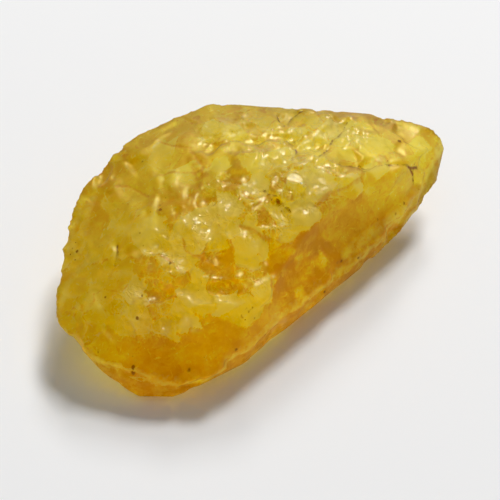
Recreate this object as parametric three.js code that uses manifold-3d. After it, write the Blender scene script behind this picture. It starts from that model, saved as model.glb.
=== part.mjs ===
// Rough sapphire: one naturally broken, chipped lump of golden-yellow corundum, as it was found.
// Millimetres. +X runs along the stone, +Y towards its back, +Z up from the face it rests on.
// The stone is a convex body of broad break faces, cut by flake scars and hollows, with a few
// low plates left standing on its top.

import * as THREE from "three";
import { ConvexGeometry } from "three/addons/geometries/ConvexGeometry.js";
import { ConvexHull } from "three/addons/math/ConvexHull.js";
import * as BufferGeometryUtils from "three/addons/utils/BufferGeometryUtils.js";
import Module from "manifold-3d";

const wasm = await Module();
wasm.setup();

// ---- Driving dimensions ----

const STONE_LENGTH = 64;
const STONE_HEIGHT = 19;
const REST_LEVEL = 0;

// How far a cutting shape stands out of the surface, and how far a plate's root goes into it.
const CLEARANCE = 4;
const PLATE_ROOT = 1.2;
const PLATE_RISE = 0.15;

// How far a ledge's wall runs out for each millimetre that it rises.
const LEDGE_RUN = 0.7;

// Small break faces: width as a share of length, number of sides, and how uneven the outline is.
const FACET_SLIMNESS = [0.55, 0.9];
const FACET_SIDES = [4, 6.5];
const FACET_UNEVENNESS = 0.15;

const CRACK_WIDTH = 0.5;
const CRACK_DEPTH = 0.6;

const SCATTER_SEED = 11;

// ---- The uncut body ----

// The foot: corners of the flat break that the stone lies on, [x, y].
const foot = [
  [-19, -12],
  [-12, -15.5],
  [4, -11.5],
  [11, -3],
  [6, 7],
  [-7, 9],
  [-18, 0],
];

// The skirt: the lowest edge all round, just clear of the ground, from the left front along the
// front to the right tip and home along the back, [x, y, z].
const skirt = [
  [-29.9, -9.3, 5.5],
  [-28.2, -12.2, 3],
  [-25.6, -15.1, 1],
  [-21.3, -17.4, 1],
  [-17.5, -18, 2],
  [-10.7, -17.8, 2.5],
  [-5.1, -15.8, 2.5],
  [-0.7, -14.2, 2.5],
  [16.1, -9.8, 3.5],
  [21.2, -8, 4.5],
  [27, -1.5, 5],
  [22, 3.5, 5],
  [14.5, 9.5, 4.5],
  [6.5, 15, 4.5],
  [-2, 16, 4],
  [-12, 14, 4.5],
  [-20.5, 8.5, 5],
  [-25, 2, 4.5],
  [-27.5, -4, 3.5],
];

// The girdle: the widest line round the stone, from the left tip round the back to the right tip
// and home along the front, [x, y, z].
const girdle = [
  [-32, -2.7, 7.5],
  [-31.7, -1.3, 8],
  [-29.8, 1.2, 9],
  [-27.7, 4.9, 10],
  [-26.1, 8, 10.5],
  [-23.3, 11.4, 11.5],
  [-20.6, 13.8, 12],
  [-19.4, 14.4, 12.5],
  [-12.5, 17.8, 13.5],
  [-8.7, 18.7, 13.5],
  [-2.9, 19.4, 13.5],
  [3.2, 19.8, 13],
  [7.1, 17.7, 13],
  [9.8, 15.7, 13],
  [22.4, 8.9, 12.2],
  [25.7, 7.2, 12],
  [28.2, 5, 11.6],
  [30.9, 2.4, 11],
  [32, 0.9, 10],
  [32, -0.6, 9],
  [30, -2.5, 8],
  [28.2, -4.6, 7.5],
  [24.9, -6.4, 6],
  [20, -8.2, 7.5],
  [14.6, -9.6, 7],
  [9.3, -11.4, 7],
  [2.1, -14.1, 6.5],
  [-4.4, -15.9, 6.5],
  [-10.5, -18.6, 6.5],
  [-15.7, -19.7, 6],
  [-19.4, -18.9, 5],
  [-23.8, -15.9, 5.5],
  [-27.9, -11.6, 6.5],
  [-30.6, -7.8, 7.5],
  [-31.4, -4.7, 7],
];

// The crown: the corners of the broad break faces over the top, [x, y, z].
const crown = [
  [-26.4, -2.2, 11],
  [-24.7, -5.4, 11.5],
  [-20.9, 2.7, 13.5],
  [-16.8, -14.4, 10.5],
  [-15.1, 1.7, 15.8],
  [-11.2, -5.4, 15.5],
  [-9.3, 14, 15],
  [-7, -14.9, 12],
  [-1.9, -10.4, 14],
  [-1.7, -3, 18],
  [0.3, 7.2, 17],
  [3.8, -9.8, 15],
  [5.8, -3.6, 18.8],
  [10.9, -6.2, 15.6],
  [15.1, -4.9, 15.2],
  [15.7, 7.5, 14.8],
  [21.8, -4.3, 13.6],
  [27.6, -1.8, 12],
];

const bodyCorners = [
  ...foot.map(([x, y]) => new THREE.Vector3(x, y, REST_LEVEL)),
  ...[...skirt, ...girdle, ...crown].map((corner) => new THREE.Vector3(...corner)),
];
const bodyHull = new ConvexHull().setFromPoints(bodyCorners);

// ---- Joining and cutting ----

/** Turn a closed three.js geometry into a solid that can be joined and cut. */
function toSolid(geometry) {
  const bare = geometry.clone();
  bare.deleteAttribute("normal");
  bare.deleteAttribute("uv");
  const merged = BufferGeometryUtils.mergeVertices(bare);
  const index = merged.index.array;
  const triangles = [];
  for (let start = 0; start < index.length; start += 3) {
    const [a, b, c] = index.subarray(start, start + 3);
    const collapsed = a === b || b === c || c === a;
    if (!collapsed) triangles.push(a, b, c);
  }
  const mesh = new wasm.Mesh({
    numProp: 3,
    vertProperties: new Float32Array(merged.attributes.position.array),
    triVerts: new Uint32Array(triangles),
  });
  return new wasm.Manifold(mesh);
}

/** Turn a finished solid back into a three.js geometry. */
function toGeometry(solid) {
  const mesh = solid.getMesh();
  const geometry = new THREE.BufferGeometry();
  geometry.setAttribute("position", new THREE.BufferAttribute(mesh.vertProperties, 3));
  geometry.setIndex(new THREE.BufferAttribute(mesh.triVerts, 1));
  return geometry;
}

// ---- Finding the body's surface ----

/** Where a line from a point inside the body comes out, and which way the body faces there. */
function wayOut(inside, direction) {
  let nearest = { distance: Infinity, normal: null };
  for (const face of bodyHull.faces) {
    const approach = face.normal.dot(direction);
    if (approach <= 0) continue;
    const distance = (face.constant - face.normal.dot(inside)) / approach;
    if (distance < nearest.distance) nearest = { distance, normal: face.normal };
  }
  const point = inside.clone().addScaledVector(direction, nearest.distance);
  return { point, normal: nearest.normal.clone() };
}

/** The top of the body over a place in plan. */
function topAt(x, y) {
  return wayOut(new THREE.Vector3(x, y, STONE_HEIGHT / 3), new THREE.Vector3(0, 0, 1));
}

/** The flank of the body in a compass direction, in degrees from +X, at a height. */
function flankAt(bearing, height) {
  const angle = THREE.MathUtils.degToRad(bearing);
  const along = STONE_LENGTH / 4;
  const inside = new THREE.Vector3(along * Math.cos(angle), 0, height);
  return wayOut(inside, new THREE.Vector3(Math.cos(angle), Math.sin(angle), 0));
}

/** The underside of the body below a place in plan. */
function undersideAt(x, y) {
  return wayOut(new THREE.Vector3(x, y, STONE_HEIGHT / 2), new THREE.Vector3(0, 0, -1));
}

// ---- The shapes that cut and build up the surface ----

/**
 * A closed turned shape with an uneven oval outline. The profile is [reach, height] pairs from the
 * axis out and back; reach is a share of half the length and width.
 */
function unevenTurned(profile, { length, width, sides, unevenness, phase }) {
  const outline = profile.map(([reach, height]) => new THREE.Vector2(reach, height));
  const geometry = new THREE.LatheGeometry(outline, sides);
  geometry.rotateX(Math.PI / 2);
  const position = geometry.attributes.position;
  for (let corner = 0; corner < position.count; corner += 1) {
    const angle = Math.atan2(position.getY(corner), position.getX(corner));
    const reach = Math.hypot(position.getX(corner), position.getY(corner));
    const swell = Math.sin(2 * angle + phase) + 0.7 * Math.sin(3 * angle + 2 * phase);
    const unevenReach = reach * (1 + unevenness * swell);
    const unevenAngle = angle + 2 * unevenness * Math.sin(4 * angle + 3 * phase);
    position.setX(corner, unevenReach * Math.cos(unevenAngle) * (length / 2));
    position.setY(corner, unevenReach * Math.sin(unevenAngle) * (width / 2));
  }
  return geometry;
}

/** A bowl that leaves a shell-shaped scar: a rounded floor rising to the surface all round. */
function scarShape(options) {
  const { depth } = options;
  const profile = [
    [0, -depth],
    [0.55, -0.75 * depth],
    [1, 0],
    [1.5, CLEARANCE],
    [0, CLEARANCE],
  ];
  return unevenTurned(profile, options);
}

/** A flat-floored cut: a small break face, with a ledge where its floor lies below the surface. */
function facetShape(options) {
  const { depth, width } = options;
  const wallRun = (LEDGE_RUN * (depth + CLEARANCE)) / (width / 2);
  const profile = [
    [0, -depth],
    [0.9, -depth],
    [0.9 + wallRun, CLEARANCE],
    [0, CLEARANCE],
  ];
  return unevenTurned(profile, options);
}

/** A low flat plate standing on the surface, with a bevelled edge. */
function plateShape(options) {
  const { depth: rise } = options;
  const profile = [
    [0, -PLATE_ROOT],
    [1.1, -PLATE_ROOT],
    [0.88, rise],
    [0, rise],
  ];
  return unevenTurned(profile, options);
}

const toolDefaults = { sides: 8, unevenness: 0.09, phase: 0, turn: 0, lean: 0, leanTowards: 0 };

/**
 * Stand a shape on the surface: its own +Z along the surface normal and its length turned about it.
 * A lean tips it towards a compass bearing, so that one side bites deeper than the other.
 */
function standOn(place, shape, options) {
  const settings = { ...toolDefaults, ...options };
  const geometry = shape(settings);
  geometry.rotateZ(THREE.MathUtils.degToRad(settings.turn));
  const bearing = THREE.MathUtils.degToRad(settings.leanTowards);
  const tipAxis = new THREE.Vector3(-Math.sin(bearing), Math.cos(bearing), 0);
  const tip = new THREE.Matrix4().makeRotationAxis(tipAxis, THREE.MathUtils.degToRad(settings.lean));
  const up = new THREE.Vector3(0, 0, 1);
  const facing = new THREE.Quaternion().setFromUnitVectors(up, place.normal);
  geometry.applyMatrix4(tip);
  geometry.applyQuaternion(facing);
  geometry.translate(place.point.x, place.point.y, place.point.z);
  return toSolid(geometry);
}

const add = (stone, tool) => stone.add(tool);
const cut = (stone, tool) => stone.subtract(tool);

/** Work a list of features into a stone, each standing on the top of the body over its place. */
function workTop(stone, features, shape, join) {
  return features.reduce(
    (worked, { at, ...options }) => join(worked, standOn(topAt(...at), shape, options)),
    stone,
  );
}

// ---- Evenly spread, repeatable scatter ----

// Steps of the plastic-number sequence, which fills a square evenly without lining up.
const SCATTER_STEP_X = 0.7549;
const SCATTER_STEP_Y = 0.5698;

const { seededRandom, lerp } = THREE.MathUtils;

/** Places spread evenly over a rectangle in plan, [x, y]. */
function scatterOver({ x: [west, east], y: [south, north], count }) {
  return Array.from({ length: count }, (_, place) => [
    lerp(west, east, (0.5 + place * SCATTER_STEP_X) % 1),
    lerp(south, north, (0.5 + place * SCATTER_STEP_Y) % 1),
  ]);
}

const between = (low, high) => lerp(low, high, seededRandom());

/** A small break face of a random size within a range, turned and leaning any way. */
function randomFacet({ length, depth, lean }) {
  const reach = between(...length);
  return {
    length: reach,
    width: reach * between(...FACET_SLIMNESS),
    depth: between(...depth),
    turn: between(0, 180),
    phase: between(0, 2 * Math.PI),
    lean: between(...lean),
    leanTowards: between(0, 360),
    sides: Math.round(between(...FACET_SIDES)),
    unevenness: FACET_UNEVENNESS,
  };
}

// ---- Broad break faces: wide, nearly smooth scoops ----

const broadFaces = [
  // the long golden face down the right front, and the shorter step below it
  { at: [11.5, -9.2], length: 27, width: 10.5, depth: 1.3, turn: 14, sides: 18, phase: 1.2 },
  { at: [2.2, -12.6], length: 11, width: 8, depth: 1.1, turn: 12, sides: 12, phase: 2.4 },
  // the smooth, slightly hollow front of the left lobe
  { at: [-18, -16.6], length: 15, width: 7, depth: 0.6, turn: -12, sides: 12, phase: 0.4 },
  // the quiet shoulder behind the left tip
  { at: [-20, 7], length: 12, width: 8, depth: 0.5, turn: 50, sides: 10, phase: 2 },
  { at: [-8, 12.5], length: 11, width: 8, depth: 0.5, turn: 20, sides: 10, phase: 4 },
  { at: [-13.5, 9], length: 9, width: 7, depth: 0.5, turn: 80, sides: 10, phase: 5 },
];

// ---- The crown: a mosaic of small break faces, hollows and plates ----

const crownCover = [
  { x: [-24, -2], y: [3, 17], count: 12, length: [5, 9], depth: [0.1, 0.25], lean: [2, 6] },
  { x: [-28, 27], y: [-16, 15], count: 70, length: [4, 7], depth: [0.05, 0.4], lean: [4, 13] },
  { x: [-27, 25], y: [-15, 10], count: 48, length: [2, 3.6], depth: [0.1, 0.3], lean: [6, 16] },
];

const hollows = [
  { at: [-8.7, -7.1], length: 5, width: 3.6, depth: 1.1, turn: 60, phase: 1 },
  { at: [-9.6, -11.6], length: 5.6, width: 2.8, depth: 1.2, turn: -15, phase: 3 },
  { at: [-2.6, -9.8], length: 5.4, width: 2.4, depth: 1, turn: 60, phase: 2 },
  { at: [-6.4, 1], length: 5, width: 3.4, depth: 0.9, turn: 20, phase: 5 },
  { at: [-18.2, -7.8], length: 5, width: 3.4, depth: 0.8, turn: -20, phase: 0 },
  { at: [-14, -8.6], length: 4, width: 2.6, depth: 0.8, turn: 70, phase: 4 },
  { at: [-1.6, 9.4], length: 4.2, width: 2.6, depth: 0.8, turn: 35, phase: 2 },
  { at: [4.5, 8], length: 4.4, width: 2.6, depth: 0.7, turn: -20, phase: 1 },
  { at: [12.4, 3.4], length: 4.6, width: 2.2, depth: 0.8, turn: 60, phase: 3 },
  { at: [17.2, -2.4], length: 4.4, width: 2.4, depth: 0.7, turn: 10, phase: 0 },
  // the dark pit by the top of the crown
  { at: [1.6, -4.5], length: 1.8, width: 1.2, depth: 1.3, turn: -30, phase: 0 },
  // the dip in the edge behind the left shoulder
  { at: [-16.4, 14.8], length: 6, width: 3, depth: 1, turn: 40, phase: 1 },
].map((hollow) => ({ ...hollow, sides: 9, unevenness: 0.13 }));

// Each plate dips towards one side, where it runs out into the surface, and stands up at the other.
const plates = [
  { at: [-16.7, -4.2], length: 6, width: 3.6, turn: 5, phase: 1, lean: 5, leanTowards: 90 },
  { at: [-11.2, -5.2], length: 4.6, width: 3.6, turn: -30, phase: 0, lean: 8, leanTowards: 150 },
  { at: [-5.1, -8.2], length: 5.2, width: 4.2, turn: -15, phase: 3, lean: 6, leanTowards: 60 },
  { at: [-12.5, -13.3], length: 6.8, width: 3, turn: -20, phase: 2, lean: 8, leanTowards: 250 },
  { at: [-5.7, -14.2], length: 4.8, width: 3, turn: 40, phase: 5, lean: 6, leanTowards: 120 },
  { at: [1, 4.2], length: 5.4, width: 4, turn: 10, phase: 1, lean: 5, leanTowards: 100 },
  { at: [0.9, 13.8], length: 5.4, width: 4.2, turn: 70, phase: 4, lean: 7, leanTowards: 90 },
  { at: [3.8, 12.9], length: 4.4, width: 3, turn: 70, phase: 2, lean: 9, leanTowards: 60 },
  { at: [-17.1, 2.1], length: 3.8, width: 3, turn: 0, phase: 1, lean: 7, leanTowards: 130 },
  { at: [-22.3, -6.2], length: 5.4, width: 3.2, turn: -10, phase: 3, lean: 8, leanTowards: 80 },
  { at: [-17.6, -12.5], length: 4.4, width: 2.6, turn: 60, phase: 0, lean: 9, leanTowards: 90 },
  { at: [8.1, 0.7], length: 5.4, width: 4, turn: 25, phase: 5, lean: 7, leanTowards: 110 },
  { at: [9.3, -4.7], length: 5.4, width: 3.4, turn: 10, phase: 1, lean: 9, leanTowards: 60 },
  { at: [5.4, -2.6], length: 4.8, width: 3.2, turn: -50, phase: 4, lean: 10, leanTowards: 150 },
  { at: [14.7, -3.9], length: 4.4, width: 2.6, turn: 20, phase: 2, lean: 9, leanTowards: 100 },
  { at: [22.7, 1.9], length: 6.4, width: 4.8, turn: -30, phase: 0, lean: 4, leanTowards: 80 },
  { at: [15.2, 8], length: 5.4, width: 4.8, turn: 30, phase: 1, lean: 6, leanTowards: 200 },
].map((plate) => ({ ...plate, depth: PLATE_RISE, sides: 7 }));

// A small knob that breaks the line of the back edge.
const knobs = [
  { at: [15, 11.4], length: 3.2, width: 2.4, depth: 0.6, turn: -30, sides: 9, phase: 2 },
];

// ---- Cracks: thin open grooves along lines of corners in plan, [x, y] ----

const cracks = [
  // the forked crack down the back of the crown
  [[12.2, 12], [10.2, 9.9], [8.6, 6.6], [8.2, 3.4], [7.7, 1.4]],
  [[8.6, 6.6], [11.4, 5.2], [14.3, 3.1]],
  // the pit's crack
  [[0.2, -3.4], [1.5, -4.6], [2.9, -6.9]],
  // the long crack across the right wing
  [[15.4, -2.5], [18.8, -3.4], [25.2, -4.2], [26.4, -3.6]],
];

/** Open each stretch of a crack as one thin wedge, a little longer than the stretch itself. */
function openCracks(stone) {
  let opened = stone;
  for (const corners of cracks) {
    for (let corner = 1; corner < corners.length; corner += 1) {
      const [fromX, fromY] = corners[corner - 1];
      const [toX, toY] = corners[corner];
      const wedge = {
        length: 1.2 * Math.hypot(toX - fromX, toY - fromY),
        width: CRACK_WIDTH,
        depth: CRACK_DEPTH,
        turn: THREE.MathUtils.radToDeg(Math.atan2(toY - fromY, toX - fromX)),
        sides: 6,
        unevenness: 0,
      };
      const middle = topAt((fromX + toX) / 2, (fromY + toY) / 2);
      opened = cut(opened, standOn(middle, scarShape, wedge));
    }
  }
  return opened;
}

// ---- Flanks, back and underside ----

/** Break faces right round the flanks, a little larger than those on the crown. */
function cutFlanks(stone) {
  const rounds = [
    { height: [9.5, 12], count: 22, length: [4, 8], depth: [0.1, 0.5], lean: [3, 12] },
    { height: [5.5, 9], count: 26, length: [4, 8], depth: [0.1, 0.6], lean: [3, 12] },
    { height: [3, 5.5], count: 18, length: [3, 7], depth: [0.1, 0.5], lean: [3, 12] },
  ];
  let worked = stone;
  for (const { height, count, ...sizes } of rounds) {
    for (let place = 0; place < count; place += 1) {
      const bearing = (360 * place) / count + between(-6, 6);
      const spot = flankAt(bearing, between(...height));
      worked = cut(worked, standOn(spot, facetShape, randomFacet(sizes)));
    }
  }
  return worked;
}

/** Long thin ledges that run along the edge of the right tip and round the left one. */
function cutRimLedges(stone) {
  const ledges = [
    { bearing: -42, height: 6.4, length: 12, width: 1.5, depth: 0.5 },
    { bearing: -24, height: 8.2, length: 9, width: 1.5, depth: 0.5 },
    { bearing: -14, height: 6.6, length: 8, width: 1.6, depth: 0.4 },
    { bearing: 146, height: 10.4, length: 9, width: 1.5, depth: 0.5 },
    { bearing: 166, height: 8.8, length: 8, width: 1.4, depth: 0.4 },
    { bearing: 224, height: 5.2, length: 8, width: 1.5, depth: 0.4 },
  ];
  let worked = stone;
  for (const { bearing, height, ...sizes } of ledges) {
    const alongTheEdge = bearing + 90;
    const tool = standOn(flankAt(bearing, height), facetShape, { ...sizes, turn: alongTheEdge });
    worked = cut(worked, tool);
  }
  return worked;
}

/** Break faces on the underside, kept off the flat that the stone rests on. */
function cutUnderside(stone) {
  const spread = { x: [-27, 27], y: [-15, 17], count: 44 };
  const clearOfFoot = 1.6;
  let worked = stone;
  for (const [x, y] of scatterOver(spread)) {
    const spot = undersideAt(x, y);
    const facet = randomFacet({ length: [4, 8], depth: [0.1, 0.4], lean: [2, 8] });
    if (spot.point.z < clearOfFoot || spot.point.z > STONE_HEIGHT / 2) continue;
    worked = cut(worked, standOn(spot, facetShape, facet));
  }
  return worked;
}

/** The crown's cover of small overlapping break faces. */
function cutCrown(stone) {
  // The broad faces at the front are too steep to be part of the crown, and stay smooth.
  const leastUpward = 0.78;
  let worked = stone;
  for (const { x, y, count, ...sizes } of crownCover) {
    for (const place of scatterOver({ x, y, count })) {
      const spot = topAt(...place);
      const facet = randomFacet(sizes);
      if (spot.normal.z < leastUpward) continue;
      worked = cut(worked, standOn(spot, facetShape, facet));
    }
  }
  return worked;
}

// ---- Assembly ----

seededRandom(SCATTER_SEED);
let stone = toSolid(new ConvexGeometry(bodyCorners));
stone = workTop(stone, broadFaces, scarShape, cut);
stone = cutFlanks(stone);
stone = cutRimLedges(stone);
stone = cutUnderside(stone);
stone = cutCrown(stone);
stone = workTop(stone, plates, plateShape, add);
stone = workTop(stone, hollows, scarShape, cut);
stone = workTop(stone, knobs, plateShape, add);
stone = openCracks(stone);

const geometry = toGeometry(stone);
geometry.computeBoundingBox();
const box = geometry.boundingBox;
geometry.translate(-(box.min.x + box.max.x) / 2, -(box.min.y + box.max.y) / 2, -box.min.z);

const sapphire = new THREE.Mesh(
  geometry,
  new THREE.MeshStandardMaterial({ color: 0xc8a01e, roughness: 0.25, metalness: 0 }),
);
sapphire.name = "sapphire";

const group = new THREE.Group();
group.add(sapphire);

export default group;
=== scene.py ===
"""A rough golden sapphire on a pale sheet: one broken, chipped lump of translucent corundum."""

import bmesh
import bpy
import math
import numpy as np
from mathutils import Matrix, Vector, kdtree


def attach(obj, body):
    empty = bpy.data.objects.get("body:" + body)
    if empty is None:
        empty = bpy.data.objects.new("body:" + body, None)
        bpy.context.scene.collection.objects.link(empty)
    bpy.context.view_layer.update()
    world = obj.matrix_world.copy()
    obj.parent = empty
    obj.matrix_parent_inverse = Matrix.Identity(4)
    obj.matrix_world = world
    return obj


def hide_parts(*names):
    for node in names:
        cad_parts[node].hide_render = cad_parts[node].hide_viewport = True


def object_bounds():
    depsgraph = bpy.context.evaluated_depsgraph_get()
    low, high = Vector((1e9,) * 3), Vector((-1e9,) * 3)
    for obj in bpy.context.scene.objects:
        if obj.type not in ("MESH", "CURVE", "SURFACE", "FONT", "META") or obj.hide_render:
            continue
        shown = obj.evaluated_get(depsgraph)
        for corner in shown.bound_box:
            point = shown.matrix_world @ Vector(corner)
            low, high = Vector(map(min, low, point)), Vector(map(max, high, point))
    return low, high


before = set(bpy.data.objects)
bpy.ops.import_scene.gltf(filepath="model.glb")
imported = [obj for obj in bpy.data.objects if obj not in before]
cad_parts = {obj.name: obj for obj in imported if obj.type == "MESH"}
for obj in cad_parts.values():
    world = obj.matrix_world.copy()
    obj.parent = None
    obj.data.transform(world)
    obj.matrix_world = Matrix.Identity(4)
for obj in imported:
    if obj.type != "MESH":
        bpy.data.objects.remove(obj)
cad_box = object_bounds()

# ---------------------------------------------------------------------------------------------
# The viewpoint. A long lens looks down on the stone over its front, a little from its left, so
# that the chipped crown and the steep break face in front both show.
# ---------------------------------------------------------------------------------------------
MM = 0.001
VIEW_AZIMUTH = -27
VIEW_ELEVATION = 52
VIEW_DISTANCE = 302 * MM
VIEW_TARGET = Vector((-2.3, -4.1, 8.2)) * MM
LENS_MM = 152
SENSOR_MM = 36
NEAREST_SEEN = 10 * MM


def outward(azimuth, elevation):
    """The direction from the stone to a place round it: azimuth 0 is the front, 90 its right."""
    turn, lift = math.radians(azimuth), math.radians(elevation)
    flat = math.cos(lift)
    return Vector((math.sin(turn) * flat, -math.cos(turn) * flat, math.sin(lift)))


scene = bpy.context.scene
towards_viewer = outward(VIEW_AZIMUTH, VIEW_ELEVATION)
camera_data = bpy.data.cameras.new("viewpoint")
camera_data.lens = LENS_MM
camera_data.sensor_width = SENSOR_MM
camera_data.clip_start = NEAREST_SEEN
camera = bpy.data.objects.new("viewpoint", camera_data)
camera.location = VIEW_TARGET + towards_viewer * VIEW_DISTANCE
camera.rotation_euler = towards_viewer.to_track_quat("Z", "Y").to_euler()
scene.collection.objects.link(camera)
scene.camera = camera

# ---------------------------------------------------------------------------------------------
# The table sheet. A matt, nearly white sheet of card, three metres across, which lies flat just
# under the stone.
# ---------------------------------------------------------------------------------------------
SHEET_HALF = 1.5
SHEET_GAP = 0.02 * MM
SHEET_COLOUR = (0.90, 0.90, 0.90, 1)
SHEET_ROUGHNESS = 0.9
SHEET_GLOSS = 0.1

sheet_mesh = bpy.data.meshes.new("table_sheet")
sheet_builder = bmesh.new()
bmesh.ops.create_grid(sheet_builder, x_segments=1, y_segments=1, size=SHEET_HALF)
sheet_builder.to_mesh(sheet_mesh)
sheet_builder.free()
table_sheet = bpy.data.objects.new("table_sheet", sheet_mesh)
table_sheet.location.z = -SHEET_GAP
scene.collection.objects.link(table_sheet)
matt_sheet = bpy.data.materials.new("matt_sheet")
matt_sheet.use_nodes = True
sheet_surface = matt_sheet.node_tree.nodes["Principled BSDF"]
sheet_surface.inputs["Base Color"].default_value = SHEET_COLOUR
sheet_surface.inputs["Roughness"].default_value = SHEET_ROUGHNESS
sheet_surface.inputs["Specular IOR Level"].default_value = SHEET_GLOSS
sheet_mesh.materials.append(matt_sheet)

# ---------------------------------------------------------------------------------------------
# Light. Two square soft windows stand behind the stone on its right, the smaller one lower. The
# room is dim: its ceiling is paler than its walls, and a pale backdrop stands round the table.
# ---------------------------------------------------------------------------------------------
WINDOW_DISTANCE = 1.6
WALL_LIGHT = 0.06
CEILING_LIGHT = 0.31
BACKDROP_LIGHT = 0.55
OVERHEAD = 1.0
BACKDROP_TOP = 0.35
WHITE = (1, 1, 1, 1)
BLACK_LEVEL = 0.006


def add_soft_window(name, azimuth, elevation, width, power):
    """Hang a square soft lamp round the stone, facing it."""
    lamp_data = bpy.data.lights.new(name, "AREA")
    lamp_data.shape = "SQUARE"
    lamp_data.size = width
    lamp_data.energy = power
    lamp = bpy.data.objects.new(name, lamp_data)
    direction = outward(azimuth, elevation)
    lamp.location = direction * WINDOW_DISTANCE
    lamp.rotation_euler = direction.to_track_quat("Z", "Y").to_euler()
    scene.collection.objects.link(lamp)


def fade_upwards(low_light, high_light, top):
    """A light that changes evenly from the table's level up to a height, and stays so above it."""
    fade = room_nodes.new("ShaderNodeMapRange")
    fade.inputs["From Max"].default_value = top
    fade.inputs["To Min"].default_value = low_light
    fade.inputs["To Max"].default_value = high_light
    room_links.new(room_height.outputs["Z"], fade.inputs["Value"])
    return fade.outputs["Result"]


add_soft_window("low_window", azimuth=142, elevation=37, width=0.36, power=9.5)
add_soft_window("high_window", azimuth=127, elevation=52, width=0.40, power=15.8)

room = bpy.data.worlds.new("dim_pale_room")
room.use_nodes = True
room_nodes = room.node_tree.nodes
room_links = room.node_tree.links
room_place = room_nodes.new("ShaderNodeTexCoord")
room_height = room_nodes.new("ShaderNodeSeparateXYZ")
room_links.new(room_place.outputs["Generated"], room_height.inputs["Vector"])
all_light = room_nodes.new("ShaderNodeMath")
room_links.new(fade_upwards(WALL_LIGHT, CEILING_LIGHT, OVERHEAD), all_light.inputs[0])
room_links.new(fade_upwards(BACKDROP_LIGHT, 0, BACKDROP_TOP), all_light.inputs[1])
room_nodes["Background"].inputs["Color"].default_value = WHITE
room_links.new(all_light.outputs[0], room_nodes["Background"].inputs["Strength"])
scene.world = room
scene.view_settings.view_transform = "Standard"
scene.view_settings.use_curve_mapping = True
scene.view_settings.curve_mapping.black_level = (BLACK_LEVEL, BLACK_LEVEL, BLACK_LEVEL)

# ---------------------------------------------------------------------------------------------
# The stone. One natural lump of golden corundum, broken out of its rock, chipped and never cut:
# flake scars of three sizes cover its crown, with sharp ridges between them, and old cracks run
# through it. It lies loose on a flat break.
# ---------------------------------------------------------------------------------------------
MESH_STEP = 0.26 * MM
MERGE_GAP = 0.001 * MM
EDGE_ROUNDS = 3
KNOB = Vector((15, 11.4)) * MM
KNOB_REACH = 2.3 * MM
KNOB_ROUNDS = 14

# On the skin, lengths are in millimetres, x runs to the right, y to the back and z up. A normal's
# height says which way the skin there faces: 1 straight up, 0 sideways and -1 straight down. FAR
# is a gap too wide to matter.
SKIN_AREA = 5200
FAR = 9
FACING_UP = 0.2
FACING_DOWN = -0.48
FACING_FADE = 0.4
OVAL_FADE = 0.5


def fine_copy(node_name, piece_name, spacing):
    """A closed, evenly meshed copy of a solid, as a new piece."""
    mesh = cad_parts[node_name].data.copy()
    builder = bmesh.new()
    builder.from_mesh(mesh)
    bmesh.ops.remove_doubles(builder, verts=builder.verts, dist=MERGE_GAP)
    builder.to_mesh(mesh)
    builder.free()
    rough = bpy.data.objects.new(piece_name + "_rough", mesh)
    scene.collection.objects.link(rough)
    remesh = rough.modifiers.new("even_mesh", "REMESH")
    remesh.mode = "VOXEL"
    remesh.voxel_size = spacing
    remesh.use_smooth_shade = True
    bpy.context.view_layer.update()
    evaluated = rough.evaluated_get(bpy.context.evaluated_depsgraph_get())
    even = bpy.data.meshes.new_from_object(evaluated)
    bpy.data.objects.remove(rough)
    even.materials.clear()
    even.name = piece_name
    piece = bpy.data.objects.new(piece_name, even)
    scene.collection.objects.link(piece)
    return piece


def soften(mesh, rounds, centre=(0, 0), reach=math.inf):
    """Round a mesh's edges off a little, all over or only near a place in plan."""
    builder = bmesh.new()
    builder.from_mesh(mesh)
    middle = Vector(centre)
    near = [vertex for vertex in builder.verts if (vertex.co.xy - middle).length < reach]
    every_way = {"use_axis_x": True, "use_axis_y": True, "use_axis_z": True}
    for _ in range(rounds):
        bmesh.ops.smooth_vert(builder, verts=near, factor=0.5, **every_way)
    builder.to_mesh(mesh)
    builder.free()


def read_rows(items, field):
    """Three numbers for each of a mesh's items, one row each."""
    values = np.empty(len(items) * 3)
    items.foreach_get(field, values)
    return values.reshape(-1, 3)


def smooth(value):
    """Ease a number from 0 to 1 with no corners."""
    value = np.clip(value, 0, 1)
    return value * value * (3 - 2 * value)


def patch(spots, centre, size, turn):
    """How far inside a turned oval in plan each spot is: 1 in its middle, 0 outside it."""
    angle = math.radians(turn)
    offset = spots[:, :2] - centre
    along = offset[:, 0] * math.cos(angle) + offset[:, 1] * math.sin(angle)
    across = offset[:, 1] * math.cos(angle) - offset[:, 0] * math.sin(angle)
    reach = np.hypot(2 * along / size[0], 2 * across / size[1])
    return smooth((1 + OVAL_FADE / 2 - reach) / OVAL_FADE)


def most(spots, patches):
    """The strongest of several patches at each spot, each scaled by its own strength."""
    return np.max([strength * patch(spots, *oval) for strength, *oval in patches], axis=0)


def line_gap(spots, lines):
    """The distance from each spot to the nearest of several broken lines, in the same two axes."""
    nearest = np.full(len(spots), np.inf)
    for line in lines:
        for start, end in zip(line[:-1], line[1:]):
            start, step = np.array(start), np.subtract(end, start)
            share = np.clip((spots - start) @ step / (step @ step), 0, 1)
            gap = np.linalg.norm(spots - start - share[:, None] * step, axis=1)
            nearest = np.minimum(nearest, gap)
    return nearest


def top_gap(lines):
    """How far each place on the upper skin is, in plan, from the nearest line, or FAR at most."""
    return np.minimum(line_gap(skin[:, :2], lines) + FAR * (facing[:, 2] < 0), FAR)


def in_skin(vectors, normals):
    """The part of each vector that lies in the skin."""
    return vectors - normals * np.sum(vectors * normals, axis=1, keepdims=True)


def unit(vectors):
    """Each vector at length 1."""
    return vectors / np.linalg.norm(vectors, axis=-1, keepdims=True)


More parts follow.
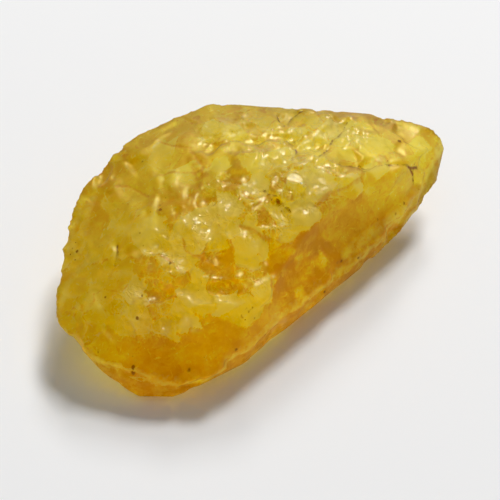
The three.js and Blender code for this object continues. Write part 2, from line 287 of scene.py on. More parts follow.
def mean_radius(size):
    """The radius of the circle that covers as much as an oval of a given length and width."""
    return math.sqrt(size[0] * size[1]) / 2


class Scars:
    """Overlapping flake scars: bowls in the skin, of which the deepest wins at each place.

    They lie a spacing apart on average. Each leans by some degrees between two limits, is part of
    a ball of the bowl's radius, and is raised by up to the lift. Plates with a place of their own
    keep others out of a share of their radius, and glint where they face the right way.
    """

    SLIMMEST = 0.65
    RADIUS_SHARE = 0.6
    CLEAR_SHARE = 0.85
    GLINT_FACING = np.array((0.13, -0.12, 0.984))
    NEIGHBOURS = 8
    LEAST_PULL = 0.01

    def __init__(self, spacing, seed, lean, bowl, lift, plates=()):
        self.bowl = bowl
        self.scatter(spacing, seed, lean, lift, plates)
        for plate in plates:
            self.add_plate(*plate)
        self.carve()

    def scatter(self, spacing, seed, lean, lift, plates):
        """Spread scars by seeded chance, leaving out those that would lie in a plate."""
        rng = np.random.default_rng(seed)
        chosen = rng.choice(len(skin), int(SKIN_AREA / spacing ** 2), replace=False)
        for centre, size, *_ in plates:
            share = np.hypot(*(skin[chosen, :2] - centre).T) / mean_radius(size)
            chosen = chosen[(share > self.CLEAR_SHARE) | (facing[chosen, 2] < 0)]
        count = len(chosen)
        self.places = chosen
        self.direction = unit(in_skin(rng.normal(size=(count, 3)), facing[chosen]))
        self.leans = self.direction * np.tan(np.radians(rng.uniform(*lean, count)))[:, None]
        self.slimness = rng.uniform(self.SLIMMEST, 1.0, count)
        self.lifts = rng.uniform(0, lift, count)
        self.tones = np.full(count, np.nan)
        self.radii = np.full(count, spacing * self.RADIUS_SHARE)

    def add_plate(self, centre, size, turn, tone, shine):
        """Sink a plate of its own size at a place, leaned by its shine to where it would glint."""
        gap = np.hypot(*(skin[:, :2] - centre).T) + FAR * (facing[:, 2] < FACING_UP)
        place = int(np.argmin(gap))
        radius = mean_radius(size)
        angle = math.radians(turn)
        normal = facing[place][None]
        along = unit(in_skin(np.array([[math.cos(angle), math.sin(angle), 0]]), normal))
        lean = in_skin(normal - self.GLINT_FACING, normal) * shine
        self.places = np.append(self.places, place)
        self.direction = np.vstack([self.direction, along])
        self.leans = np.vstack([self.leans, lean])
        self.slimness = np.append(self.slimness, math.sqrt(size[1] / size[0]))
        self.lifts = np.append(self.lifts, -radius ** 2 / 2 / self.bowl)
        self.tones = np.append(self.tones, tone)
        self.radii = np.append(self.radii, radius)

    def carve(self):
        """Find the deepest scar at each place of the skin, and how near the place is to its edge."""
        self.centres = skin[self.places]
        tree = kdtree.KDTree(len(self.places))
        for number, centre in enumerate(self.centres):
            tree.insert(centre, number)
        tree.balance()
        finds = [tree.find_n(place, self.NEIGHBOURS) for place in skin]
        near = np.array([[number for _, number, _ in hits] for hits in finds])
        side = np.cross(facing[self.places], self.direction)
        offset = skin[:, None] - self.centres[near]
        along = np.sum(offset * self.direction[near], axis=2) * self.slimness[near]
        across = np.sum(offset * side[near], axis=2) / self.slimness[near]
        depth = self.lifts[near] + np.sum(offset * self.leans[near], axis=2)
        depth += (along ** 2 + across ** 2) / 2 / self.bowl
        order = np.argsort(depth, axis=1)
        rows = np.arange(len(skin))
        first, second = near[rows, order[:, 0]], near[rows, order[:, 1]]
        self.owner = first
        self.along = along[rows, order[:, 0]] / self.radii[first]
        self.height = depth[rows, order[:, 0]]
        step = depth[rows, order[:, 1]] - self.height
        pull = self.leans[second] - self.leans[first]
        pull += (self.centres[first] - self.centres[second]) / self.bowl
        self.edge_gap = step / (np.linalg.norm(pull, axis=1) + self.LEAST_PULL)


# Plates and pits with a place of their own: centre in plan, length and width, turn, how pale, and
# how far each leans to where it would glint, below 0 away from it.
PLATES = [
    ((0.1, 13.8), (5.6, 2.6), 65, 0.85, 0.5),
    ((3.1, 12.2), (4.8, 2.0), 65, 0.9, 0.6),
    ((1.6, 3.8), (4.6, 4.0), -55, 0.75, 0.3),
    ((-3.6, 5.6), (3.6, 2.2), 65, 0.75, 0.3),
    ((-6.4, 7.4), (3.8, 2.6), 65, 0.85, 0.3),
    ((-7.9, 13.5), (5.3, 3.6), 65, 0.8, 0.1),
    ((-11.1, -5.1), (4.1, 3.6), 80, 1.0, 0.6),
    ((-17.6, 1.4), (3.6, 3.0), -80, 0.85, 0.6),
    ((-15.5, -4.0), (3.9, 3.4), -50, 0.85, 0.7),
    ((-0.8, -0.6), (2.8, 2.0), -30, 1.4, 0.9),
    ((-10.0, -0.2), (1.6, 1.1), -30, 1.4, 0.9),
    ((-6.4, -2.6), (1.7, 1.2), 65, 1.4, 0.9),
    ((-8.8, -3.0), (2.7, 1.4), -30, 0.7, 0.5),
    ((-5.2, -5.9), (1.9, 1.1), -25, 1.4, 1.0),
    ((4.0, 1.9), (3.0, 2.1), 50, 0.9, 0.7),
    ((7.6, -1.6), (3.5, 2.5), -15, 1.4, 0.9),
    ((4.2, -3.3), (3.6, 2.6), -30, 0.85, 0.6),
    ((7.3, -6.3), (3.9, 1.5), 5, 1.4, 0.9),
    ((16.9, 5.4), (1.7, 1.3), 55, 1.4, 1.0),
    ((16.5, 7.7), (2.0, 1.5), -25, 1.4, 0.9),
    ((13.4, 5.1), (1.6, 1.3), 65, 1.4, 0.9),
    ((9.6, 8.1), (1.9, 1.3), 70, 0.95, 0.8),
    ((5.7, 4.3), (3.2, 2.9), 0, 0.8, 0.6),
    ((10.3, 3.3), (3.9, 3.3), -15, 0.75, 0.2),
    ((14.2, -4.6), (2.8, 1.4), 25, 1.4, 0.9),
    ((17.7, -5.3), (1.7, 1.4), 20, 0.9, 1.0),
    ((2.7, -8.5), (1.0, 0.9), -10, 1.4, 1.0),
    ((0.5, -7.2), (3.2, 2.5), 60, 0.85, 0.6),
    ((-3.1, -5.7), (4.4, 1.8), -55, 0.75, 0.3),
    ((0.4, -9.6), (4.5, 1.5), 10, 0.75, 0.3),
    ((-4.9, -9.2), (4.3, 3.4), -25, 1.05, 0.5),
    ((-12.5, -13.3), (7.0, 3.3), -25, 1.6, 0.5),
    ((-15.9, -11.6), (1.0, 0.9), 70, 1.4, 1.0),
    ((-17.7, -14.1), (2.0, 1.2), -60, 1.4, 1.0),
    ((-22.6, -6.8), (4.1, 3.2), -15, 0.95, 0.6),
    ((-22.8, -10.7), (3.3, 1.6), 65, 0.8, 0.5),
    ((-20.6, -13.0), (1.6, 1.2), -30, 0.9, 0.8),
    ((-14.4, -6.6), (1.4, 1.1), 50, 0.95, 0.9),
    ((-13.9, -9.2), (1.5, 1.1), 65, 0.9, 0.8),
    ((-25.2, -8.8), (3.3, 2.5), -35, 0.6, 0.2),
    ((-17.8, -12.1), (2.3, 1.9), 70, 0.75, 0.4),
    ((-5.9, -14.9), (4.1, 2.2), 60, 0.85, 0.2),
    ((-9.4, -16.0), (4.9, 3.6), -20, 0.7, 0.2),
    ((-7.4, -10.4), (2.2, 1.2), -25, 0.9, 0.7),
    ((20.6, 0.1), (7.0, 5.5), 50, 0.7, 0.2),
    ((15.2, 0.1), (3.3, 2.7), 0, 0.7, 0.2),
    ((27.6, -1.9), (4.6, 3.2), 50, 0.6, 0.0),
    ((7.7, 12.4), (3.5, 3.0), -25, 0.5, 0.1),
    ((14.2, 8.9), (3.2, 2.9), -30, 0.6, 0.2),
    ((-8.5, -6.2), (5.8, 3.4), 60, -0.25, -0.5),
    ((-8.5, -12.0), (6.4, 2.8), -35, -0.2, -0.4),
    ((-6.1, -0.7), (3.7, 2.0), -30, -0.1, -0.4),
    ((0.3, 1.0), (3.1, 1.2), -30, -0.1, -0.8),
    ((-1.1, 9.3), (2.5, 2.0), -85, 0.3, -0.4),
    ((11.2, -4.1), (3.8, 3.3), 35, 0.3, -0.2),
    ((0.4, -4.4), (3.3, 1.4), 60, -0.3, -0.6),
    ((-16.8, -8.2), (4.2, 1.6), -35, -0.1, -0.4),
    ((-19.4, -11.8), (3.4, 1.9), 65, -0.15, -0.3),
    ((-15.1, 8.3), (7.2, 3.0), -30, 0.25, 0.0),
]

# Where small chips crowd the skin. Each oval in plan has a strength, centre, size and turn.
CHIPPED = [
    (1.0, (-12, -4), (13, 8), 0),
    (0.9, (-20, -9), (9, 8), -20),
    (0.9, (-10, -11), (14, 5), -25),
    (1.0, (7, -3), (12, 10), 20),
    (0.9, (-1, -4), (9, 11), 0),
    (0.7, (8, 5), (12, 10), 0),
    (0.7, (17, 5), (9, 8), -30),
    (0.6, (-4, 1), (8, 6), 0),
    (0.4, (3, 12), (12, 8), 0),
]

# Where the stone is deep golden under a worn, softly rippled skin.
GOLDEN = [
    (1.0, (10, -9.5), (27, 8), 14),
    # The next two ovals make the lower part of the front face much darker.
    (2.4, (3.5, -12.6), (15, 6), 15),
    (1.6, (13, -11), (12, 4), 20),
    (0.9, (-21, -15.5), (15, 7), -25),
    (0.9, (-13, -17), (16, 7), 0),
    (0.5, (-5, 7), (3, 5), 20),
    (0.2, (-26, -8), (9, 4), -20),
    (0.9, (-12, -16.4), (8, 3), 10),
]

# Old cracks, open to the skin, as broken lines in plan.
CRACKS = [
    [(10.6, 12.7), (10.2, 9.5), (12.5, 11.3), (14.4, 11.6)],
    [(9.4, 7.5), (9.3, 5.6), (8.9, 3.1), (7.2, 1.4)],
    [(11.0, 0.4), (13.0, 1.6), (15.1, 3.6), (17.2, 4.9), (19.3, 6.9)],
    [(13.3, -1.8), (16.2, -2.2), (17.9, -2.9), (21.6, -3.6), (23.8, -4.0), (25.3, -3.8)],
    [(23.8, -4.0), (24.2, -4.7)],
    [(0.5, -0.9), (0.9, -3.0), (1.8, -4.0), (2.3, -5.5), (2.8, -6.7)],
    [(-20.3, 1.6), (-21.1, -0.1), (-21.9, -0.9)],
    [(-3.1, 3.0), (-2.2, 1.7), (-1.3, 0.6)],
]

# Healed seams, shallower than the cracks, as broken lines in plan.
SEAMS = [
    [(6.1, -10.1), (7.1, -11.3), (8.5, -11.4)],
    [(0.9, -3.0), (-1.0, -4.0), (-2.3, -4.2)],
    [(6.9, -6.8), (9.4, -5.9), (12.1, -5.5), (14.0, -5.2), (15.2, -4.8)],
    [(-4.4, 10.7), (-4.3, 8.6), (-4.4, 6.8), (-5.5, 4.7)],
    [(-10.2, 8.7), (-6.9, 7.3), (-4.8, 6.1)],
    [(-16.1, 11.0), (-14.6, 10.1), (-13.7, 8.1), (-13.2, 6.3)],
    [(-3.3, -10.7), (-3.0, -12.3), (-4.0, -14.1)],
    [(-1.9, -10.1), (0.8, -10.3), (3.7, -9.8), (5.9, -9.0)],
    [(-2.5, -12.4), (1.2, -11.5), (5.2, -10.6)],
    [(-1.7, -13.8), (1.9, -12.9), (6.3, -12.2)],
    [(-4.4, -5.2), (-3.2, -6.4), (-2.4, -7.9), (-1.4, -8.5)],
    [(-12.3, -3.0), (-12.8, -4.5), (-12.4, -6.2), (-11.1, -7.0), (-9.7, -6.1)],
    [(-7.4, 16.3), (-6.1, 13.3), (-4.1, 11.3)],
    [(-16.8, -1.9), (-16.1, -3.6), (-15.1, -5.4)],
    [(-1.5, 11.2), (-0.3, 9.6), (0.6, 9.2), (2.3, 9.9)],
]

# How much of their depth the scars keep, on quiet skin and where the skin is chipped, how much of
# it is worn off golden skin, and how deep the cracks and seams are.
BROAD_DEPTH = 0.42
MIDDLING_DEPTHS = (0.22, 1.0)
SMALL_DEPTHS = (0.06, 0.5)
GOLDEN_WEAR = 0.5
CRACK_DEPTH = 0.2
SEAM_DEPTH = 0.08
GROOVE_WIDTH = 0.3
DEEPEST = -0.9
PROUDEST = 0.3

stone = fine_copy("sapphire", "stone", MESH_STEP)
soften(stone.data, EDGE_ROUNDS)
soften(stone.data, KNOB_ROUNDS, KNOB, KNOB_REACH)
skin = read_rows(stone.data.vertices, "co") / MM
facing = read_rows(stone.data.vertex_normals, "vector")
upward = smooth((facing[:, 2] - FACING_UP) / FACING_FADE)
underneath = smooth((FACING_DOWN - facing[:, 2]) / FACING_FADE)
chip_share = most(skin, CHIPPED) * upward
golden_share = most(skin, GOLDEN)
crack_gap = top_gap(CRACKS)
seam_gap = top_gap(SEAMS)

broad = Scars(spacing=4.5, seed=5, lean=(2, 7), bowl=18, lift=0.2)
middling = Scars(spacing=2.6, seed=11, lean=(3, 10), bowl=9, lift=0.1, plates=PLATES)
small = Scars(spacing=1.3, seed=9, lean=(5, 18), bowl=7, lift=0.08)


def where_chipped(quiet, crowded):
    """A number that goes from one value on quiet skin to another where chips crowd it."""
    return quiet + (crowded - quiet) * chip_share


height = BROAD_DEPTH * broad.height
height += where_chipped(*MIDDLING_DEPTHS) * middling.height
height += where_chipped(*SMALL_DEPTHS) * small.height
height *= 1 - GOLDEN_WEAR * np.minimum(golden_share, 1)
height -= np.median(height)
height -= CRACK_DEPTH * np.exp(-(crack_gap / GROOVE_WIDTH) ** 2)
height -= SEAM_DEPTH * np.exp(-(seam_gap / GROOVE_WIDTH) ** 2)
height = np.clip(height, DEEPEST, PROUDEST * (1 - underneath))
skin = skin + facing * height[:, None]
skin = np.clip(skin, np.array(cad_box[0]) / MM, np.array(cad_box[1]) / MM)
stone.data.vertices.foreach_set("co", (skin * MM).ravel())
stone.data.update()

# The stone's markings: pale and amber scars, whose tones also carry painted light on the back
# edge and the left side, a pale bruised line round its front edge with rusty streaks, rust in the
# cracks, orange stains and dark specks, kept as numbers on its skin. Tones run from -0.5 for dark
# umber, over 0.5 for gold, to 1.5 for chalky white.
BARE_TONE = 0.08
VEIL_AND_PAINTED_LIGHT_TONE = 0.5
GOLDEN_TONE = -0.16
FADED_SHARE = 0.3
FADED_UP_TO = -0.9
FADE_RUN = 1.2
BROAD_SHARE = 0.2
MIDDLING_SHARE = 1.25
SMALL_SHARES = (0.0625, 0.3125)
UNDERNEATH_TONE = 1.2
DARKEST_TONE = -0.6
PALEST_TONE = 1.7
FRONT_FACING = np.array((0.35, -0.9, -0.25))
FRONT_START = -0.1
FRONT_FADE = 0.3
SPECKLED_FACING = -0.3
EDGE_REACH = 2
DOT_LENGTH = 0.05

# Where pale veils lie close under the skin, with painted light among them: a painted reflection of
# the pale surroundings along the back edge, and a painted lift of the left side, which the windows
# light less.
PALE_VEILS_AND_PAINTED_LIGHT = [
    (0.75, (-10, 12), (16, 9), 30),
    (0.65, (-20, 11), (6, 5), 40),
    (0.15, (4, 12.5), (14, 6), -10),
    # Painted reflection: this oval and the next lie along the back edge, paler for the pale
    # surroundings it would mirror.
    (0.8, (10.5, 13.5), (26, 5), -37),
    (0.7, (-5, 17.5), (18, 5), 5),
    (0.65, (7, -1), (12, 12), 20),
    (0.9, (20, -6.3), (13, 5), 22),
    # Left side: a real pale band, made paler still as painted light where the windows light it less,
    # as are the last two.
    (1.3, (-19, 2.5), (17, 9), -30),
    (0.3, (2, 4), (12, 10), 0),
    (1.4, (-25, 4.5), (7, 11), -30),
    (1.3, (-26, -3), (10, 13), -30),
]

# Where the plates are finely ribbed.
RIBBED = [
    (1.0, (0.8, -7.4), (5.0, 4.0), 60),
    (1.0, (-22.6, -6.8), (5.4, 3.8), -15),
    (0.8, (7.4, -6.2), (4.8, 2.0), 5),
    (0.8, (7.8, -1.4), (4.4, 3.0), -15),
    (0.8, (3.2, 2.4), (3.4, 2.2), 50),
    (0.6, (-6.0, -2.0), (4.0, 2.4), -30),
    (0.7, (-9.4, -10.4), (7.0, 1.6), -25),
    (0.6, (-18.5, -5.6), (5.0, 1.8), -40),
    (0.7, (-18.2, -13.6), (3.4, 2.4), -40),
    (0.6, (14.4, -4.4), (3.6, 1.8), 25),
    (0.6, (0.6, -9.6), (5.4, 1.8), 10),
    (0.6, (15.5, 6.0), (5.0, 5.0), 0),
]

# The bruised edge along the front and other bruised lines on it, as x and z seen straight on, and
# bruised lines on the upper side, in plan.
RIM = [
    (-32.0, 7.6), (-30.3, 6.2), (-27.8, 6.0), (-23.7, 5.0), (-17.5, 3.6), (-13.9, 5.5),
    (-11.1, 6.2), (-5.5, 7.2), (-1.8, 7.2), (2.1, 6.4), (5.9, 6.1), (10.0, 5.9), (15.0, 6.0),
    (20.4, 6.4), (24.6, 8.0), (28.9, 9.2), (32.0, 9.5),
]
FRONT_BRUISES = [
    [(30.0, 10.2), (29.8, 8.4), (27.2, 7.6), (24.6, 6.2), (21.3, 5.3)],
    [(28.8, 8.5), (25.9, 7.6), (23.0, 7.4), (19.5, 7.9), (16.4, 7.8), (12.5, 7.9), (9.5, 7.8)],
    [(26.9, 8.1), (23.9, 8.1), (21.0, 7.8), (18.4, 7.4)],
]
TOP_BRUISES = [
    [(-22.3, 10.0), (-24.0, 8.9), (-25.3, 7.0), (-25.4, 4.1)],
    [(-24.8, 2.5), (-26.6, 2.0), (-28.6, 1.1), (-30.0, -0.6), (-31.4, -2.1)],
    [(-19.6, 11.4), (-21.6, 9.4), (-23.0, 6.6)],
]

# Single dark specks, in plan on the upper side and as x and z on the front, and ovals of grit.
TOP_SPECKS = [
    (-25.6, 5.6), (-25.9, 4.9), (-25.3, 4.7), (-22.6, 2.8), (-11.0, 13.1), (-13.0, 2.8),
    (-25.0, -4.3), (-22.4, -9.2), (-20.6, -7.1), (24.6, 0.6), (30.1, 2.1), (1.5, -4.4),
    (1.9, -4.8), (1.2, -4.2), (-15.4, -5.3), (-28.8, -9.7), (-25.4, -13.8), (-18.6, -17.6),
]
FRONT_SPECKS = [
    (-11.7, 7.5), (-9.5, 10.7), (-8.6, 11.4), (-8.4, 11.0), (-7.7, 11.2), (-7.7, 9.8),
    (-7.6, 5.6), (-6.5, 6.0), (4.8, 5.1), (8.0, 7.6), (8.7, 7.4), (11.5, 6.4), (16.5, 8.6),
    (19.6, 8.0), (21.4, 8.5),
]
SPECKLED = [
    (1.0, (-9.2, -15.4), (5.5, 3.4), -20),
    (0.9, (22.0, -3.0), (9.0, 2.4), -5),
    (0.8, (-25.4, 5.2), (2.4, 3.6), 0),
    (0.7, (1.4, -4.6), (2.6, 3.0), -50),
    (0.7, (27.0, -2.4), (8.0, 3.0), 40),
    (0.7, (-20.0, -15.6), (12.0, 3.0), -30),
    (0.5, (-16.0, 2.0), (14.0, 12.0), 0),
]

# Orange stains, as ovals in plan.
STAINS = [
    (1.0, (-4.8, 6.6), (2.5, 5.0), -20),
    (0.9, (20.5, -2.0), (4.5, 1.8), 25),
    (0.8, (17.0, -8.6), (3.0, 2.0), 20),
    (0.8, (6.9, -12.0), (2.4, 1.6), 15),
    (0.6, (-29.0, -7.0), (5.0, 2.4), -40),
    (0.7, (-12.4, 16.3), (2.0, 2.0), 0),
    (0.5, (-14.5, 9.0), (5.0, 3.0), -30),
    (0.6, (-14.0, -18.0), (8.0, 2.4), 10),
    (0.6, (-24.0, -14.6), (7.0, 2.4), -35),
]


def scar_tones(scars, seed, luck):
    """How pale each place is, from where its scar lies and a little luck, faded at one end."""
    rng = np.random.default_rng(seed)
    # The veils' share includes painted light: a painted reflection on the back edge and a painted
    # lift of the left side.
    tones = BARE_TONE + VEIL_AND_PAINTED_LIGHT_TONE * most(scars.centres, PALE_VEILS_AND_PAINTED_LIGHT)
    tones += GOLDEN_TONE * most(scars.centres, GOLDEN)
    tones += luck * (1 + most(scars.centres, CHIPPED)) / 2 * rng.uniform(-1, 1, len(tones))
    tones = np.where(np.isnan(scars.tones), tones, scars.tones)
    kept = FADED_SHARE + (1 - FADED_SHARE) * smooth((scars.along - FADED_UP_TO) / FADE_RUN)
    return BARE_TONE + (tones[scars.owner] - BARE_TONE) * kept


def front_gap(lines):
    """How far each place on the front is, seen straight on, from the nearest line, or FAR."""
    return np.minimum(line_gap(skin[:, [0, 2]], lines) + FAR * (1 - front), FAR)


def dots(spots):
    """Very short lines, one for each speck."""
    return [[spot, np.add(spot, DOT_LENGTH)] for spot in spots]


tone = BROAD_SHARE * scar_tones(broad, seed=1, luck=0.1)
tone += MIDDLING_SHARE * scar_tones(middling, seed=2, luck=0.35)
small_luck = scar_tones(small, seed=3, luck=0.7) - scar_tones(small, seed=3, luck=0)
tone += where_chipped(*SMALL_SHARES) * small_luck
tone += UNDERNEATH_TONE * underneath

front = smooth((facing @ FRONT_FACING - FRONT_START) / FRONT_FADE)
rim_x, rim_z = np.array(RIM).T
above_rim = skin[:, 2] - np.interp(skin[:, 0], rim_x, rim_z) + FAR * (1 - front)
marks = {
    "paleness": np.clip(tone, DARKEST_TONE, PALEST_TONE),
    "chipped": chip_share,
    "golden": golden_share,
    "ribbed": most(skin, RIBBED) * upward,
    "edge_gap": np.minimum(middling.edge_gap, EDGE_REACH),
    "small_edge_gap": np.minimum(small.edge_gap, EDGE_REACH),
    "crack_gap": crack_gap,
    "seam_gap": seam_gap,
    "speck_gap": np.minimum(top_gap(dots(TOP_SPECKS)), front_gap(dots(FRONT_SPECKS))),
    "above_rim": np.clip(above_rim, -FAR, FAR),
    "bruise_gap": np.minimum(top_gap(TOP_BRUISES), front_gap(FRONT_BRUISES)),
    "speckled": most(skin, SPECKLED) * (facing[:, 2] > SPECKLED_FACING),
    "stained": most(skin, STAINS) * (facing[:, 2] > 0),
}
for name, values in marks.items():
    attribute = stone.data.attributes.new(name, "FLOAT", "POINT")
    attribute.data.foreach_set("value", values.astype(np.float32))

# The stone's finish: clear golden corundum, which light passes through, frosted by wear on its
# plates, glossier on fresh chips, deep amber between the plates, and stained along its cracks.
UMBER = (0.60, 0.22, 0.001, 1)
DEEP = (0.80, 0.42, 0.007, 1)
GOLD = (0.94, 0.78, 0.02, 1)
PALE = (1.0, 0.93, 0.17, 1)
CHALK = (1.0, 0.97, 0.42, 1)
AMBER = (0.62, 0.19, 0.002, 1)
RUST = (0.10, 0.006, 0.0003, 1)
REFRACTION = 1.77
CLEARNESS = 0.92
GLINT_TINT = (0.86, 0.81, 0.2, 1)
SHINE_ROUGHNESS = 0.05
DEPTH_COLOUR = (0.95, 0.845, 0.04, 1)
DEPTH_DENSITY = 65
RIB_CELL = 2.2 * MM
RIB_SPACING = 0.55 * MM
HAIRLINE_CELL = 1.7 * MM
HAIRLINE_BEND = 1.6 * MM
CHIP_SIZE = 0.9 * MM
CHIP_TILT = 0.42
GRIT_SIZE = 0.75 * MM
BUMP_HEIGHT = 0.04 * MM

gold = bpy.data.materials.new("golden_corundum")
gold.use_nodes = True
nodes = gold.node_tree.nodes
links = gold.node_tree.links
surface = nodes["Principled BSDF"]
object_place = nodes.new("ShaderNodeTexCoord").outputs["Object"]


def join(value, socket):
    """Give a socket a plain value or the output of another node."""
    if isinstance(value, bpy.types.NodeSocket):
        links.new(value, socket)
    else:
        socket.default_value = value


def marked(name):
    """A number that was kept for each vertex."""
    node = nodes.new("ShaderNodeAttribute")
    node.attribute_name = name
    return node.outputs["Fac"]


def grain(size, detail=3, roughness=0.5, output="Fac"):
    """Noise from 0 to 1 with lumps of about the given size."""
    node = nodes.new("ShaderNodeTexNoise")
    links.new(object_place, node.inputs["Vector"])
    node.inputs["Scale"].default_value = 1 / size
    node.inputs["Detail"].default_value = detail
    node.inputs["Roughness"].default_value = roughness
    return node.outputs[output]


def splinters(size, feature, place=object_place):
    """Angular cells of about the given size, as a fractured skin has."""
    node = nodes.new("ShaderNodeTexVoronoi")
    node.feature = feature
    links.new(place, node.inputs["Vector"])
    node.inputs["Scale"].default_value = 1 / size
    return node.outputs


def cell_luck(cells, axis):
    """A number from 0 to 1 that chance gives to the whole of each cell."""
    node = nodes.new("ShaderNodeSeparateXYZ")
    links.new(cells["Color"], node.inputs[0])
    return node.outputs[axis]


def spread(value, low, high, to_low=0, to_high=1):
    """Stretch a number from one range to another, held inside the second."""
    node = nodes.new("ShaderNodeMapRange")
    join(value, node.inputs["Value"])
    node.inputs["From Min"].default_value = low
    node.inputs["From Max"].default_value = high
    node.inputs["To Min"].default_value = to_low
    node.inputs["To Max"].default_value = to_high
    return node.outputs["Result"]


def patchy(size, low, high, least=0, full=1, detail=3, roughness=0.5):
    """Noise as patches: least where it is below one level, and full where it is above another."""
    return spread(grain(size, detail, roughness), low, high, least, full)


def sway(size, reach, detail=3, roughness=0.5):
    """Noise as a swing of up to a reach to either side of nothing."""
    return patchy(size, 0.3, 0.7, -reach, reach, detail, roughness)


def reckon(operation, first, second=0.0):
    """One sum on two numbers."""
    node = nodes.new("ShaderNodeMath")
    node.operation = operation
    join(first, node.inputs[0])
    join(second, node.inputs[1])
    return node.outputs[0]


def total(first, *others):
    """Several numbers added up."""
    for other in others:
        first = reckon("ADD", first, other)
    return first


def product(first, *others):
    """Several numbers multiplied."""
    for other in others:
        first = reckon("MULTIPLY", first, other)
    return first


def stroke(gap, solid, end, strength=1):
    """A line where a gap is nothing, solid out to one distance from it and gone at another."""
    return spread(gap, solid, end, strength, 0)


def band(value, start, full, fading, end):
    """A stripe: 0 at its start, 1 from where it is full to where it is fading, 0 at its end."""
    return product(spread(value, start, full), stroke(value, fading, end))


def vector_reckon(operation, first, second=None, scale=None, output="Vector"):
    """One sum on two vectors, or on a vector and a number."""
    node = nodes.new("ShaderNodeVectorMath")
    node.operation = operation
    join(first, node.inputs[0])
    if second is not None:
        join(second, node.inputs[1])
    if scale is not None:
        join(scale, node.inputs["Scale"])
    return node.outputs[output]


def any_way(colour):
    """A random colour as a short vector, which may point any way."""
    return vector_reckon("SUBTRACT", colour, (0.5, 0.5, 0.5))


def ribs(cell, spacing):
    """Fine parallel lines, which run another way in each angular cell and waver a little."""
    across = vector_reckon("NORMALIZE", any_way(splinters(cell, "F1")["Color"]))
    across = vector_reckon("SCALE", across, scale=2 * math.pi / spacing)
    phase = vector_reckon("DOT_PRODUCT", object_place, across, output="Value")
    return reckon("SINE", total(phase, patchy(0.8 * MM, 0.2, 0.8, -4, 4)))


def blend_colour(factor, first, second):
    """Go from the first colour to the second as the factor goes from 0 to 1."""
    node = nodes.new("ShaderNodeMix")
    node.data_type = "RGBA"
    join(factor, node.inputs["Factor"])
    join(first, node.inputs[6])
    join(second, node.inputs[7])
    return node.outputs[2]


# Gaps on the skin are in millimetres, and gaps between splinters are shares of a splinter.
chipped = marked("chipped")
golden = marked("golden")
chips = splinters(CHIP_SIZE, "F1")


def by_chipping(quiet, crowded):
    """A number that goes from one value on quiet skin to another where chips crowd it."""
    return spread(chipped, 0, 1, quiet, crowded)


# Fine lines on the plates: ribs, and crooked hairlines between tiny splinters.
rib_share = total(product(marked("ribbed"), 0.45), product(chipped, 0.1))
rib_lines = product(spread(ribs(RIB_CELL, RIB_SPACING), 0.2, 1.0), rib_share)
bend = vector_reckon("SCALE", any_way(grain(1.5 * MM, detail=2, output="Color")), scale=HAIRLINE_BEND)
bent_place = vector_reckon("ADD", object_place, bend)
hairline_gap = splinters(HAIRLINE_CELL, "DISTANCE_TO_EDGE", bent_place)["Distance"]
hairline = product(
    stroke(hairline_gap, solid=0.01, end=0.06),
    patchy(1.3 * MM, 0.45, 0.55),
    spread(chipped, 0, 0.6, 0.15, 1),
)

# Painted highlights: pale lines just inside the scars' edges, where the edges would glint, which
# wander off their true line.
wander = sway(1.2 * MM, 0.12)
ragged_edge = total(marked("edge_gap"), wander)
painted_edge_highlight = band(ragged_edge, start=0.04, full=0.14, fading=0.18, end=0.36)
painted_edge_highlight = product(painted_edge_highlight, by_chipping(0.1, 0.45))
# Painted highlights along the small scars' edges as well.
painted_small_edge_highlight = stroke(marked("small_edge_gap"), solid=0.03, end=0.15, strength=0.7)
painted_small_edge_highlight = product(painted_small_edge_highlight, patchy(1.1 * MM, 0.45, 0.6))

# How pale the skin is: the scars' own tones, with the painted light among them, clouds and frosting
# of several sizes, the luck of each tiny chip, the mottle of the golden stone, the fine lines, and
# the painted highlights along the scars' edges.
clouds = [sway(4.5 * MM, 0.1), sway(1.6 * MM, 0.1)]
frosting = product(sway(0.3 * MM, 0.24, detail=2, roughness=0.7), by_chipping(0.35, 1))
chip_tone = product(spread(cell_luck(chips, 0), 0, 1, -0.15, 0.15), chipped)
mottle = product(patchy(2.6 * MM, 0.35, 0.65, -0.38, 0.28, detail=5, roughness=0.6), golden)
fine_marks = [frosting, chip_tone, painted_small_edge_highlight, rib_lines, product(hairline, 0.35), mottle, painted_edge_highlight]
paleness = total(marked("paleness"), *clouds, *fine_marks)
body = UMBER
for low, high, colour in [(-0.5, 0, DEEP), (0, 0.5, GOLD), (0.5, 1, PALE), (1, 1.5, CHALK)]:
    body = blend_colour(spread(paleness, low, high), body, colour)

# Orange stains, amber scar edges and healed seams.
stain = product(marked("stained"), patchy(0.9 * MM, 0.35, 0.6), 0.75)
body = blend_colour(stain, body, AMBER)
edge_line = stroke(ragged_edge, solid=-0.02, end=0.12, strength=0.6)
edge_line = product(edge_line, patchy(3 * MM, 0.42, 0.55))
body = blend_colour(edge_line, body, AMBER)
seam = stroke(total(marked("seam_gap"), wander), solid=0.02, end=0.3, strength=0.7)
body = blend_colour(seam, body, AMBER)

# The front edge: painted shade, in dark umber, on the stone below it, the pale bruised line, and
# a rusty streak above it.
above = total(marked("above_rim"), product(wander, 4))
# Painted shade: the strip below the front edge is darkened to umber for the shadow it lies in.
painted_shade_below = band(above, start=-5.5, full=-4.0, fading=-1.0, end=-0.3)
painted_shade_below = product(painted_shade_below, patchy(1.4 * MM, 0.4, 0.6, 0.3, 0.95, detail=4, roughness=0.7))
body = blend_colour(painted_shade_below, body, UMBER)
bruised_edge = band(above, start=-0.7, full=-0.1, fading=0.1, end=1.1)
bruise = stroke(total(marked("bruise_gap"), wander), solid=0.1, end=0.75)
bruise = reckon("MAXIMUM", bruised_edge, bruise)
bruise = product(bruise, patchy(1.1 * MM, 0.35, 0.6, 0.1, 0.9, detail=5, roughness=0.7))
body = blend_colour(bruise, body, PALE)
streak_gap = reckon("ABSOLUTE", total(above, -0.9))
streak = stroke(streak_gap, solid=0.08, end=0.3)
streak = product(streak, patchy(1.0 * MM, 0.5, 0.62, 0, 0.75, detail=4, roughness=0.7))
body = blend_colour(streak, body, AMBER)

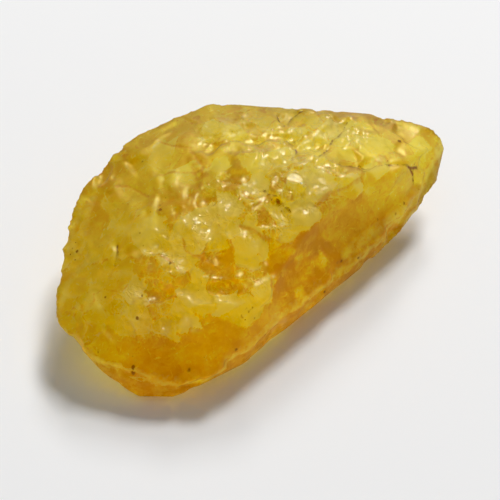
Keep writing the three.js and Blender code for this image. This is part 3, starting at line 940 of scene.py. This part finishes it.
# Rust in the cracks, single specks and grit.
crack = stroke(total(marked("crack_gap"), wander), solid=0.04, end=0.2, strength=0.99)
crack = product(crack, patchy(1.4 * MM, 0.35, 0.55, 0.3, 1))
body = blend_colour(crack, body, RUST)
grit = splinters(GRIT_SIZE, "F1")
grain_size = spread(cell_luck(grit, 2), 0.6, 1.0, 0, 0.27)
grit_gap = reckon("SUBTRACT", grit["Distance"], grain_size)
grit_spot = stroke(grit_gap, solid=-0.08, end=0.02, strength=0.97)
grit_spot = product(grit_spot, spread(marked("speckled"), 0.2, 0.8))
speck_gap = total(marked("speck_gap"), product(wander, 1.6))
speck = stroke(speck_gap, solid=0.06, end=0.24, strength=0.97)
body = blend_colour(reckon("MAXIMUM", speck, grit_spot), body, RUST)

# Frosting: the pale plates, the worn golden skin and the painted-shade strip under the front edge
# are rough, some chips less so.
frost = spread(paleness, 0, 1, 0.40, 0.70)
frost = reckon("MAXIMUM", frost, spread(golden, 0, 1, 0, 0.74))
frost = reckon("MAXIMUM", frost, product(painted_shade_below, 0.85))
clear_chip = product(spread(cell_luck(chips, 1), 0.68, 0.72, 0, 0.05), chipped)

# Relief too fine for the mesh: each tiny chip is turned a little, with grain and lines on it.
skin_normal = nodes.new("ShaderNodeNewGeometry").outputs["Normal"]
chip_turn = vector_reckon("SCALE", any_way(chips["Color"]), scale=chipped)
chip_turn = vector_reckon("SCALE", chip_turn, scale=CHIP_TILT)
turned_normal = vector_reckon("NORMALIZE", vector_reckon("ADD", skin_normal, chip_turn))
fine_grain = product(grain(0.32 * MM, detail=2, roughness=0.6), by_chipping(0.25, 1))
bumps = nodes.new("ShaderNodeBump")
bumps.inputs["Distance"].default_value = BUMP_HEIGHT
links.new(total(fine_grain, rib_lines, product(hairline, 1.5)), bumps.inputs["Height"])
links.new(turned_normal, bumps.inputs["Normal"])

# Light is coloured on its way through the stone, and again where it passes the skin.
absorption = nodes.new("ShaderNodeVolumeAbsorption")
absorption.inputs["Color"].default_value = DEPTH_COLOUR
absorption.inputs["Density"].default_value = DEPTH_DENSITY
links.new(absorption.outputs["Volume"], nodes["Material Output"].inputs["Volume"])
links.new(body, surface.inputs["Base Color"])
links.new(reckon("SUBTRACT", frost, clear_chip), surface.inputs["Roughness"])
links.new(bumps.outputs["Normal"], surface.inputs["Normal"])
links.new(bumps.outputs["Normal"], surface.inputs["Coat Normal"])
links.new(by_chipping(0.05, 0.5), surface.inputs["Coat Weight"])
surface.inputs["Coat Roughness"].default_value = SHINE_ROUGHNESS
surface.inputs["Transmission Weight"].default_value = CLEARNESS
surface.inputs["IOR"].default_value = REFRACTION
surface.inputs["Specular Tint"].default_value = GLINT_TINT
stone.data.materials.append(gold)

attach(stone, "root")
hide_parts("sapphire")
